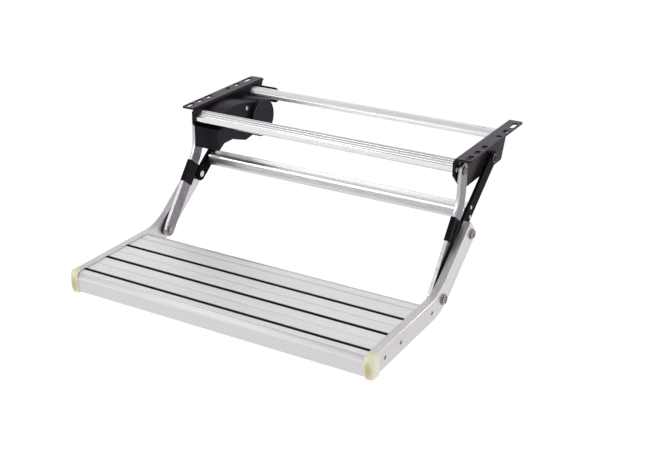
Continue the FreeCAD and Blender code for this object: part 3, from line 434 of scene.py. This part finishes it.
knurl(plank_extrusion)
print("knurl on the planks, one notch every", knurl_pitch, "mm")

# %% [markdown]
# On a channel the lines keep their distance from the middle line, which is level under the
# tread and then climbs along the leg. That distance is worked out twice, once for each straight
# part. The smaller of the two is the right one, and a smooth minimum rounds the change.

# %% Extrusions that turn the corner
leg_slope = math.radians(36)
channel_middle_z = -206.393
bend_y = -218.837
corner_round = 0.03


def round_the_bend(tree, fine, long):
    parts = apart(tree, own_place(tree))
    rise = calc(tree, "SUBTRACT", parts["Z"], channel_middle_z * MM)
    back = calc(tree, "SUBTRACT", parts["Y"], bend_y * MM)
    leg_rise = calc(tree, "MULTIPLY", rise, math.cos(leg_slope))
    on_leg = calc(tree, "MULTIPLY_ADD", back, -math.sin(leg_slope), leg_rise)
    beside = calc(tree, "SMOOTH_MIN", rise, on_leg, corner_round)
    along = calc(tree, "ADD", back, rise)
    joined = step(tree, "CombineXYZ", {"X": parts["X"], "Y": along, "Z": beside})
    return step(tree, "Mapping", {"Vector": joined.outputs["Vector"],
                                  "Scale": (fine, long, fine)}).outputs["Vector"]


bent_extrusion = drawn_aluminium("anodised_channel", round_the_bend, (0.54, 0.52, 0.53),
                                 (0.61, 0.59, 0.60), 0.33, 0.00005)
print("the channels' lines turn up by", round(math.degrees(leg_slope)), "degrees")

# %% [markdown]
# ## Tumbled aluminium arms
#
# The front arms are greyer than the extrusions. They were cut from plate and tumbled, which
# leaves a mottled, slightly pitted skin with faint scratches down the bar. Three noises at three
# sizes give the mottling, the pits and the scratches. The narrow edges were milled afterwards.
# Beyond that, the side faces are painted much darker, as the shade they lie in beside the
# channels, and the edges are painted light, a painted highlight. A bar that only turns about the
# X axis keeps the X part of its normals, so that part can tell an edge from a face in every
# pose.

# %% Arms
def tumbled_aluminium():
    material, tree, shader = finish("tumbled_aluminium", (0.34, 0.32, 0.345), 0.42, 1.0)
    down_the_bar = place_on(tree, (1800, 1100, 35), (math.radians(18), 0, 0))
    scratches = noise(tree, down_the_bar, detail=3.0)
    mottle = noise(tree, place_on(tree, (190, 190, 110)), detail=4.0, rough=0.6)
    pits = noise(tree, place_on(tree, 1500), detail=2.0)
    tone = average(tree, scratches, mottle)
    # The side faces take the dark skin colour, a painted shade, and the edges the light cut
    # colour, a painted highlight.
    skin = two_colours(tree, tone, (0.14, 0.125, 0.143), (0.285, 0.262, 0.29), narrow_spread)
    lit_edge_colour = two_colours(tree, tone, (0.44, 0.43, 0.45), (0.60, 0.59, 0.61), narrow_spread)
    painted_shade_on_faces = between(tree, calc(tree, "ABSOLUTE", facing(tree, "X")), 0.0, 1.0, (0.55, 0.9))
    tree.links.new(mixed(tree, painted_shade_on_faces, lit_edge_colour, skin), shader.inputs["Base Color"])
    tree.links.new(between(tree, mottle, 0.26, 0.42), shader.inputs["Roughness"])
    pitted = relief(tree, shader, pits, 0.00008, 0.5)
    relief(tree, shader, scratches, 0.00005, 0.5, pitted)
    return material


arm_metal = tumbled_aluminium()
print("finish:", arm_metal.name)

# %% [markdown]
# ## Black powder coat
#
# Brackets, links and the guard plate are steel with a satin black coat. Baked powder flows out
# into a fine orange peel, a millimetre or so across, and a finer tooth sits on it. The coat
# itself is near black with a trace of violet. The flanges look almost grey: a thin film of dust
# has settled there, and light lies flat on them, so the finish asks how far a point faces up and
# paints a grey film by that much, part dust and part painted sheen.

# %% Black coat
def powder_coat(name, dark, pale, dust_and_sheen, gloss, shine):
    material, tree, shader = finish(name, dark, gloss)
    shader.inputs["Specular IOR Level"].default_value = shine
    peel = noise(tree, place_on(tree, 750), detail=2.0)
    tooth = noise(tree, place_on(tree, 3200), detail=2.0)
    dust = noise(tree, place_on(tree, 22), detail=4.0)
    # Faces that look up get a grey film: part settled dust, part painted sheen.
    dust_and_sheen_share = between(tree, facing(tree, "Z"), 0.0, 1.0, (0.84, 0.98))
    bare = two_colours(tree, dust, dark, pale)
    dust_and_sheen_film = two_colours(tree, peel, tuple(0.75 * part for part in dust_and_sheen), dust_and_sheen)
    tree.links.new(mixed(tree, dust_and_sheen_share, bare, dust_and_sheen_film), shader.inputs["Base Color"])
    tree.links.new(between(tree, dust, gloss - 0.04, gloss + 0.08), shader.inputs["Roughness"])
    peeled = relief(tree, shader, peel, 0.00012, 0.5)
    relief(tree, shader, tooth, 0.00003, 0.6, peeled)
    return material


bracket_coat = powder_coat("black_powder_coat", (0.006, 0.0035, 0.0065), (0.015, 0.010, 0.016),
                           (0.074, 0.064, 0.079), 0.30, 0.05)
link_coat = powder_coat("black_link_coat", (0.003, 0.002, 0.003), (0.007, 0.005, 0.007),
                        (0.05, 0.045, 0.05), 0.36, 0.01)
print("finishes:", bracket_coat.name, "and", link_coat.name)

# %% [markdown]
# ## Zinc-plated fasteners and bare drive steel
#
# Zinc plating is a pale grey metal with a slight warm cast from its passivation and a cloudy
# bloom. Turned heads also keep faint rings from the lathe, but at this size the bloom is what
# the eye reads. The pins are darker and warmer than the screws. The walls of their grooves and
# recesses get a near-black steel, a painted shade. The gears are oiled steel, and the bushes are
# sintered bronze.

# %% Small metal parts
def plated(name, dark, pale, gloss, grain=700):
    material, tree, shader = finish(name, pale, gloss, 1.0)
    bloom = noise(tree, place_on(tree, 140), detail=5.0, rough=0.6)
    fine = noise(tree, place_on(tree, grain), detail=2.0)
    tree.links.new(two_colours(tree, bloom, dark, pale), shader.inputs["Base Color"])
    tree.links.new(between(tree, bloom, gloss + 0.1, gloss - 0.06), shader.inputs["Roughness"])
    relief(tree, shader, fine, 0.00003, 0.5)
    return material


zinc = plated("zinc_plate", (0.42, 0.40, 0.38), (0.66, 0.64, 0.61), 0.22)
screw_steel = plated("screw_steel", (0.46, 0.44, 0.43), (0.60, 0.58, 0.57), 0.28)
pin_steel = plated("pin_steel", (0.22, 0.195, 0.175), (0.41, 0.37, 0.335), 0.26)
ring_steel = plated("ring_steel", (0.09, 0.078, 0.082), (0.20, 0.18, 0.185), 0.26)
warm_steel = plated("warm_steel", (0.15, 0.125, 0.115), (0.30, 0.26, 0.235), 0.30)
black_steel = plated("black_steel", (0.045, 0.04, 0.042), (0.10, 0.09, 0.095), 0.26)
# Near black: painted shade for the walls of grooves and recesses.
shade_steel = plated("shade_steel", (0.012, 0.010, 0.010), (0.03, 0.026, 0.025), 0.45)
gear_metal = plated("oiled_steel", (0.22, 0.21, 0.20), (0.40, 0.39, 0.38), 0.28)
bronze = plated("sintered_bronze", (0.34, 0.20, 0.09), (0.52, 0.33, 0.16), 0.45, 2400)
print("nine small metals, from", zinc.name, "to", bronze.name)

# %% [markdown]
# ## Moulded plastics and rubber
#
# The drive unit's housing and the arm sleeves are black plastic out of a spark-eroded mould.
# Its grain is isotropic and finer than powder coat, and it is a little bluer. The end caps are
# cream plastic that lets some light in, so they glow a little; their middle is painted darker
# and yellower and their rim paler, a painted shading of the dome. The grip strips are extruded
# rubber, nearly matt.

# %% Plastics and rubber
def moulded(name, dark, pale, gloss, grain, depth, shine=0.5):
    material, tree, shader = finish(name, pale, gloss)
    shader.inputs["Specular IOR Level"].default_value = shine
    skin = noise(tree, place_on(tree, grain), detail=3.0)
    flow = noise(tree, place_on(tree, 30), detail=2.0)
    tree.links.new(two_colours(tree, flow, dark, pale), shader.inputs["Base Color"])
    tree.links.new(between(tree, skin, gloss - 0.06, gloss + 0.08), shader.inputs["Roughness"])
    relief(tree, shader, skin, depth, 0.7)
    return material


housing_plastic = moulded("black_housing_plastic", (0.004, 0.0025, 0.005),
                          (0.010, 0.007, 0.013), 0.38, 1700, 0.00006, 0.08)
# A lighter copy of the black plastic, for the cover's rings: a painted highlight.
highlit_cover_plastic = moulded("black_plastic_painted_highlight", (0.022, 0.021, 0.025),
                        (0.034, 0.033, 0.038), 0.30, 1700, 0.00006, 0.12)
sleeve_plastic = moulded("black_sleeve_plastic", (0.004, 0.003, 0.0045),
                         (0.008, 0.006, 0.009), 0.36, 1400, 0.00005, 0.04)
rubber = moulded("black_grip_rubber", (0.006, 0.0055, 0.007),
                 (0.012, 0.011, 0.013), 0.72, 2200, 0.00008, 0.06)
cream = moulded("cream_cap_plastic", (0.58, 0.56, 0.40), (0.64, 0.62, 0.47), 0.36, 900, 0.00002)
board_green = moulded("green_board", (0.02, 0.10, 0.04), (0.03, 0.16, 0.06), 0.3, 300, 0.00002)
print("six moulded finishes, from", housing_plastic.name, "to", board_green.name)

# %% Painted shading on the cream caps, and light let into them
caps_across = (0.2605, 0.2755)
caps_upward = (-0.2275, -0.1930)


def painted_cap_shading(material, shaded_middle, lit_rim):
    """Painted shading: darker and yellower in the middle of the cap, paler towards its rim."""
    tree = material.node_tree
    parts = apart(tree, own_place(tree))
    aside = between(tree, calc(tree, "ABSOLUTE", parts["X"]), -1.0, 1.0, caps_across)
    upward = between(tree, parts["Z"], -1.0, 1.0, caps_upward)
    off_middle = calc(tree, "ADD", calc(tree, "POWER", aside, 2.0),
                      calc(tree, "POWER", upward, 2.0))
    tree.links.new(two_colours(tree, off_middle, shaded_middle, lit_rim, (0.05, 0.95)),
                   shader_of(material).inputs["Base Color"])


# Painted shading: the middle of each cap darker and yellower, its rim paler.
painted_cap_shading(cream, (0.42, 0.38, 0.205), (0.62, 0.60, 0.45))
cream_shader = shader_of(cream)
cream_shader.inputs["Subsurface Weight"].default_value = 0.35
cream_shader.inputs["Subsurface Radius"].default_value = (0.006, 0.005, 0.003)
cream_shader.inputs["Subsurface Scale"].default_value = 1.0
print("light goes up to", round(cream_shader.inputs["Subsurface Radius"].default_value[0] / MM),
      "mm into the caps")

# %% [markdown]
# ## A finish for every loaded node
#
# The nodes have plain names, so the words in a name say what a piece is made of. A list from
# word to finish is shorter and safer than one line for each node. The longest word that fits
# wins, except that a fastener's word always comes first: a housing screw is a screw.

# %% Give every loaded node its finish
finish_of = {
    "bracket": bracket_coat, "guard_plate": bracket_coat, "rear_link": link_coat,
    "bar_end": link_coat, "cross_bar": bar_extrusion, "plank": plank_extrusion,
    "rear_rail": rail_extrusion, "middle_cross_bar": rail_extrusion,
    "rear_cross_bar": rear_extrusion, "side_channel": bent_extrusion, "front_arm": arm_metal,
    "sleeve": sleeve_plastic, "housing": housing_plastic, "cable_gland": housing_plastic,
    "limit_switch": housing_plastic, "end_cap": cream, "grip_strip": rubber, "screw": zinc,
    "bolt": zinc, "washer": zinc, "nut": zinc, "spacer": black_steel, "rivet": zinc,
    "stud": zinc, "output_shaft": zinc, "gear": gear_metal, "pinion": gear_metal,
    "motor": gear_metal, "bushes": bronze, "board": board_green}
fasteners = ("screw", "bolt", "washer", "nut", "spacer", "rivet", "stud")
for name, obj in node.items():
    words = [word for word in finish_of if word in name]
    words = [word for word in words if word in fasteners] or words
    obj.data.materials.clear()
    obj.data.materials.append(finish_of[max(words, key=len)])
print("finishes on", len(node), "nodes")

# %% [markdown]
# ## Turned pins
#
# The knee and leg pins are the parts an eye goes to on the bright side channels. On the real
# step each is a turned steel pin with a ring groove round a small dimple, standing on a
# chamfered washer. A plain cylinder with a bevel would lose that ring of shade. A lathe is the
# natural tool for round things, so one helper takes a profile, pairs of place and radius along
# the pin, and spins it. An outline function can push a ring out of round, and that is how
# driver recesses are made.

# %% A lathe
around = 64
cross_arm = 0.26


def round_outline(angle):
    return 1.0


def cross_outline(angle):
    """Reach of a cross with arms of unit length, at one angle."""
    level, upright = max(abs(math.cos(angle)), 1e-6), max(abs(math.sin(angle)), 1e-6)
    return max(min(1 / level, cross_arm / upright), min(1 / upright, cross_arm / level))


def turned(profile, centre, side, closed=False):
    """Profile entries are (x, radius, outline, paint of the band that follows)."""
    corners, faces, paints, rings = [], [], [], []
    for x, radius, outline, paint in profile:
        ring = []
        for k in range(around if radius else 1):
            angle = 2 * math.pi * (k + 0.5) / around
            reach = radius * outline(angle)
            ring.append(len(corners))
            corners.append((side * x, centre[0] + reach * math.cos(angle),
                            centre[1] + reach * math.sin(angle)))
        rings.append((ring, paint))
    pairs = zip(rings, rings[1:] + rings[:1]) if closed else zip(rings, rings[1:])
    for (near, paint), (far, _) in pairs:
        for k in range(around):
            quad = (near[k % len(near)], near[(k + 1) % len(near)],
                    far[(k + 1) % len(far)], far[k % len(far)])
            faces.append(tuple(dict.fromkeys(quad)))
            paints.append(paint)
    return corners, faces, paints


def profile_of(*entries):
    """Fill in a round outline and the first paint where an entry leaves them out."""
    return [(*entry, round_outline, 0) if len(entry) == 2 else entry for entry in entries]


def groove(x, radius):
    """A round entry whose band gets the second paint, a near-black painted shade."""
    return x, radius, round_outline, 1


def turned_set(name, profile, centres, sides, finishes, body, stands_for, closed=False):
    corners, faces, paints = [], [], []
    for centre in centres:
        for side in sides:
            more, mesh_faces, tones = turned(profile, centre, side, closed)
            faces += [tuple(index + len(corners) for index in face) for face in mesh_faces]
            corners += more
            paints += tones
    made = piece_from(name, corners, faces, paints=paints)
    for look in finishes:
        made.data.materials.append(look)
    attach(made, body)
    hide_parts(stands_for)
    print(name, len(made.data.polygons), "faces, on", body)


# %% Pins and washers of the side channels
arm_pivot = (-113.0, -23.7)
link_pivot = (7.0, -41.7)
knee_pivot = (-210.716, -200.493)
leg_pivot = (-111.449, -128.371)
washer_face = 276.5
both_sides = (1, -1)


def pin_head(seat, outer, tall, neck):
    """Head with a rolled rim, a ring groove and a dimple, from its seat outwards."""
    top = seat + tall
    return profile_of(
        (seat, neck), (seat + 0.35, neck), (seat + 0.5, outer), (top - 0.9, outer),
        (top - 0.35, outer - 0.35), (top, outer - 1.0), groove(top, outer - 2.1),
        groove(top - 1.0, outer - 2.4), groove(top - 1.0, outer - 3.3), (top - 0.1, outer - 3.7),
        groove(top, 1.5), groove(top - 0.8, 1.0), (top - 0.8, 0))


knee_shank = profile_of((250.1, 0), (250.1, 5.2), (250.5, 5.6), (251.7, 5.6), (251.7, 5.0))
leg_shank = profile_of((259.6, 0), (259.6, 4.8), (259.8, 5.0))
channel_head = pin_head(washer_face, 7.3, 3.0, 5.2)
# The second finish paints the walls of the ring groove and the dimple near black, a painted
# shade.
turned_set("knee_pins", knee_shank + channel_head, [knee_pivot], both_sides,
           [pin_steel, shade_steel], "tread", "knee_pivot_bolts")
turned_set("leg_pins", leg_shank + channel_head, [leg_pivot], both_sides,
           [pin_steel, shade_steel], "tread", "leg_pivot_bolts")
washer = profile_of((275.0, 5.2), (275.0, 8.8), (275.3, 9.2), (276.2, 9.2), (washer_face, 8.9),
                    (washer_face, 5.2))
turned_set("knee_rings", washer, [knee_pivot], both_sides, [pin_steel], "tread",
           "knee_washers", closed=True)
turned_set("leg_rings", washer, [leg_pivot], both_sides, [pin_steel], "tread",
           "leg_washers", closed=True)

# %% Pins of the brackets
arm_shank = profile_of((247.0, 0), (247.0, 5.0))
turned_set("arm_pins", arm_shank + pin_head(258.8, 7.3, 2.2, 5.6), [arm_pivot], both_sides,
           [warm_steel, shade_steel], "frame", "arm_pivot_bolts")
link_shank = profile_of((242.0, 0), (242.0, 5.0))
hollow_head = profile_of(
    (258.3, 5.6), (258.6, 7.2), (259.9, 7.3), (260.3, 7.0), (260.5, 6.5), groove(260.5, 5.9),
    groove(259.2, 5.3), groove(259.2, 2.6), groove(260.2, 2.0), (260.2, 0))
turned_set("link_pin", link_shank + hollow_head, [link_pivot], (1,),
           [ring_steel, shade_steel], "frame", "link_pivot_bolt")

# %% [markdown]
# ## Plank screws
#
# Three countersunk screws a side hold the planks. Their heads are flush and have almost the
# colour of the channel, so what shows is the cross of the driver recess, which is deep and holds
# no light. The recess narrows as it goes in, as a real one does, and its walls get a near-black
# finish, a painted shade. The alternative, a painted cross, would vanish in a close view.

# %% Six countersunk screws
nose_y = -440.016
screw_drop = 16.0
screw_runs = (37.0, 86.0, 190.0)
screw_places = [(nose_y + run, tread_top - screw_drop) for run in screw_runs]
screw = profile_of(
    (249.0, 0), (249.0, 1.7), (249.5, 2.0), (272.5, 2.0), (274.7, 4.5), (275.0, 4.6),
    (275.0, 3.7, cross_outline, 1), (273.6, 3.0, cross_outline, 1),
    (272.6, 1.6, cross_outline, 1), (272.4, 0))
# The recess walls take the near-black finish, a painted shade.
turned_set("plank_fixings", screw, screw_places, both_sides, [screw_steel, shade_steel],
           "tread", "plank_screws")

# %% [markdown]
# ## Soft end caps
#
# Each side channel ends in a cream cap, soft enough to spare a shin. Its front is a dome that
# is tall and narrow, closer to half a cucumber than to a rounded box. A box with bevels shows
# flat strips between them, so the cap is lofted instead: rings with rounded corners follow one
# another from the tip to the rear edge, each a little larger. Two cutters then make room for
# the channel and the plank, because a cap is moulded round them. The channel gets 0.2 mm of
# room all round, and the cap ends where the plank's end begins.

# %% Rings from the tip of the dome to its rear edge
cap_middle = (267.95, -207.84)
cap_half = (8.85, 19.35)
cap_front_y = -443.416
cap_rear_y = -422.0
dome_depth = 8.0
dome_round = 8.3
dome_bulge = 2.3
dome_steps = 12
tip_corner = 2.4
rear_corner = 6.0


def power(value, exponent):
    return math.copysign(abs(value) ** exponent, value)


def cap_levels():
    """Pairs of y and of the share of the full size that the ring has there."""
    depths = [1 - math.cos(math.pi / 2 * k / dome_steps) for k in range(1, dome_steps + 1)]
    levels = [(cap_front_y + dome_depth * depth,
               (1 - (1 - depth) ** dome_bulge) ** (1 / dome_bulge)) for depth in depths]
    return levels + [(cap_rear_y - 0.7, 1.0), (cap_rear_y - 0.2, 0.96), (cap_rear_y, 0.90)]


def cap_rings(side):
    levels = cap_levels()
    corners = [(side * cap_middle[0], cap_front_y, cap_middle[1])]
    for y, share in levels:
        wide, tall = (half - dome_round * (1 - share) for half in cap_half)
        corner = 2 / (tip_corner + (rear_corner - tip_corner) * share ** 6)
        for k in range(around):
            angle = 2 * math.pi * (k + 0.5) / around
            corners.append((side * (cap_middle[0] + wide * power(math.cos(angle), corner)), y,
                            cap_middle[1] + tall * power(math.sin(angle), corner)))
    corners.append((side * cap_middle[0], cap_rear_y, cap_middle[1]))
    faces = [(0, 1 + k, 1 + (k + 1) % around) for k in range(around)]
    for row in range(len(levels) - 1):
        start = 1 + row * around
        after = start + around
        faces += [(start + k, start + (k + 1) % around, after + (k + 1) % around, after + k)
                  for k in range(around)]
    last, start = len(corners) - 1, 1 + (len(levels) - 1) * around
    faces += [(start + k, start + (k + 1) % around, last) for k in range(around)]
    return corners, faces


# %% Cutters for the seats of the channel and the plank
def block(name, low, high):
    corners = [(x, y, z) for x in (low[0], high[0]) for y in (low[1], high[1])
               for z in (low[2], high[2])]
    return piece_from(name, corners, [(0, 1, 3, 2), (4, 6, 7, 5), (0, 4, 5, 1), (2, 3, 7, 6),
                                      (0, 2, 6, 4), (1, 5, 7, 3)], smooth=False)


def carve(made, cutters):
    for cutter in cutters:
        bite = made.modifiers.new("bite", "BOOLEAN")
        bite.object, bite.solver = cutter, "EXACT"
    seen = made.evaluated_get(bpy.context.evaluated_depsgraph_get())
    carved = bpy.data.meshes.new_from_object(seen)
    made.modifiers.clear()
    made.data = carved
    mark_crisp(carved)
    for cutter in cutters:
        bpy.data.objects.remove(cutter)


# %% Two soft caps
left_and_right = ((1, "right"), (-1, "left"))
seats_end_y = -410.0
for side, word in left_and_right:
    cap = piece_from(word + "_soft_cap", *cap_rings(side))
    channel_x = sorted((side * 261.1, side * 275.2))
    plank_x = sorted((side * 250.0, side * 261.3))
    carve(cap, [block("channel_seat", (channel_x[0], nose_y + 8.8, -223.9),
                      (channel_x[1], seats_end_y, -188.9)),
                block("plank_seat", (plank_x[0], nose_y - 0.2, -240.0),
                      (plank_x[1], seats_end_y, -170.0))])
    cap.data.materials.append(cream)
    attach(cap, "tread")
    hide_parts(word + "_end_cap")
    print(cap.name, len(cap.data.polygons), "faces")

# %% [markdown]
# ## Ribbed grip strips
#
# The three dark lines on the tread are rubber pressed into open grooves. Rubber of this kind is
# extruded with small ribs along its top, which grip a wet sole. From two metres away they only
# make the strip matt, but they are real shape, so they are drawn in the section and pushed
# along the plank rather than faked with a bump.

# %% Draw the section and push it along
def prism(name, section, x_from, x_to):
    """Push a closed outline of (y, z) corners along X."""
    count = len(section)
    corners = [(x, y, z) for x in (x_from, x_to) for y, z in section]
    faces = [(k, (k + 1) % count, count + (k + 1) % count, count + k) for k in range(count)]
    faces += [tuple(range(count)), tuple(range(2 * count - 1, count - 1, -1))]
    return piece_from(name, corners, faces)


strip_wide = 5.5
strip_end_x = 261.1
strip_top = tread_top + 0.5
groove_floor = -193.0
half_ribs = [(0.0, -0.9), (0.35, -0.25), (0.85, 0.0), (1.25, 0.0), (1.5, -0.4), (1.75, -0.4),
             (2.0, 0.0), (2.55, 0.0), (2.75, -0.4)]
ribs = half_ribs + [(strip_wide - y, drop) for y, drop in reversed(half_ribs[:-1])]
for place, word in ((20.0, "front"), (73.0, "middle"), (124.5, "rear")):
    start = nose_y + place - strip_wide / 2
    outline = [(start + y, strip_top + drop) for y, drop in ribs]
    outline += [(start + strip_wide, groove_floor), (start, groove_floor)]
    strip = prism(word + "_ribbed_strip", outline, -strip_end_x, strip_end_x)
    strip.data.materials.append(rubber)
    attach(strip, "tread")
    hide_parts(word + "_grip_strip")
    print(strip.name, len(strip.data.polygons), "faces")

# %% [markdown]
# ## Rings on the drive unit's cover
#
# The round cover has a thin raised rim that catches the light, and a shallow step inside it.
# The engineering model has the cover as a plain shape, so both are turned on the lathe and laid
# on top as thin rings of a lighter copy of the black plastic, a painted highlight on the rim and
# the step.

# %% Rim and step of the round cover
cover_centre = (10.0, -47.7)
rim = profile_of((197.3, 34.4), (196.6, 34.1), (196.45, 33.7), (196.45, 33.2), (196.6, 32.8),
                 (197.3, 32.5))
low_step = profile_of((197.3, 22.0), (196.75, 21.8), (196.75, 21.2), (197.3, 21.0))
for name, profile in (("cover_rim", rim), ("cover_step", low_step)):
    corners, faces, paints = turned(profile, cover_centre, -1, closed=True)
    made = piece_from(name, corners, faces, paints=paints)
    made.data.materials.append(highlit_cover_plastic)
    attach(made, "frame")
    print(made.name, len(made.data.polygons), "faces")

# %% [markdown]
# ## Painted shadow sheets between the arms and the side channels
#
# From the sleeve down to the knee a black wedge of deep shade shows between each arm and its
# side channel. A thin black sheet on the arm's outer face stands in for it, a painted shadow.
# Its front edge follows the channel's upper edge, so it is drawn in the channel's own
# directions: along the leg from the knee, and up from the line of the pins.
# A thinner sheet, also a painted shadow, carries the same line on over the sleeve.

# %% Painted shadow sheets on the arms and over the sleeves
leg_long = math.dist(knee_pivot, leg_pivot)
leg_way = [(leg_pivot[k] - knee_pivot[k]) / leg_long for k in (0, 1)]
shadow_sheet_outer_x = 260.6


def from_knee(run, rise):
    """A corner (y, z) from its run along the leg and its rise over the pins, in mm."""
    return (knee_pivot[0] + run * leg_way[0] - rise * leg_way[1],
            knee_pivot[1] + run * leg_way[1] + rise * leg_way[0])


arm_shadow_outline = [(12.5, 15.7), (30, 19.0), (55, 20.2), (85.8, 20.0), (88.0, 12.2), (40, 2), (18, 9)]
sleeve_shadow_outline = [(86.5, 22), (121, 31.5), (126, 22.5), (89, 12.5)]
# Black sheets that stand in for the deep shade between arm and channel: a painted shadow.
for side, word in left_and_right:
    for kind, shape, inner_x in (("arm_shadow_sheet", arm_shadow_outline, 258.5), ("sleeve_shadow_sheet", sleeve_shadow_outline, 259.5)):
        sheet = prism(word + "_" + kind, [from_knee(*corner) for corner in shape],
                      side * inner_x, side * shadow_sheet_outer_x)
        sheet.data.materials.append(sleeve_plastic)
        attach(sheet, "front_arms")
        print(sheet.name, len(sheet.data.polygons), "faces")
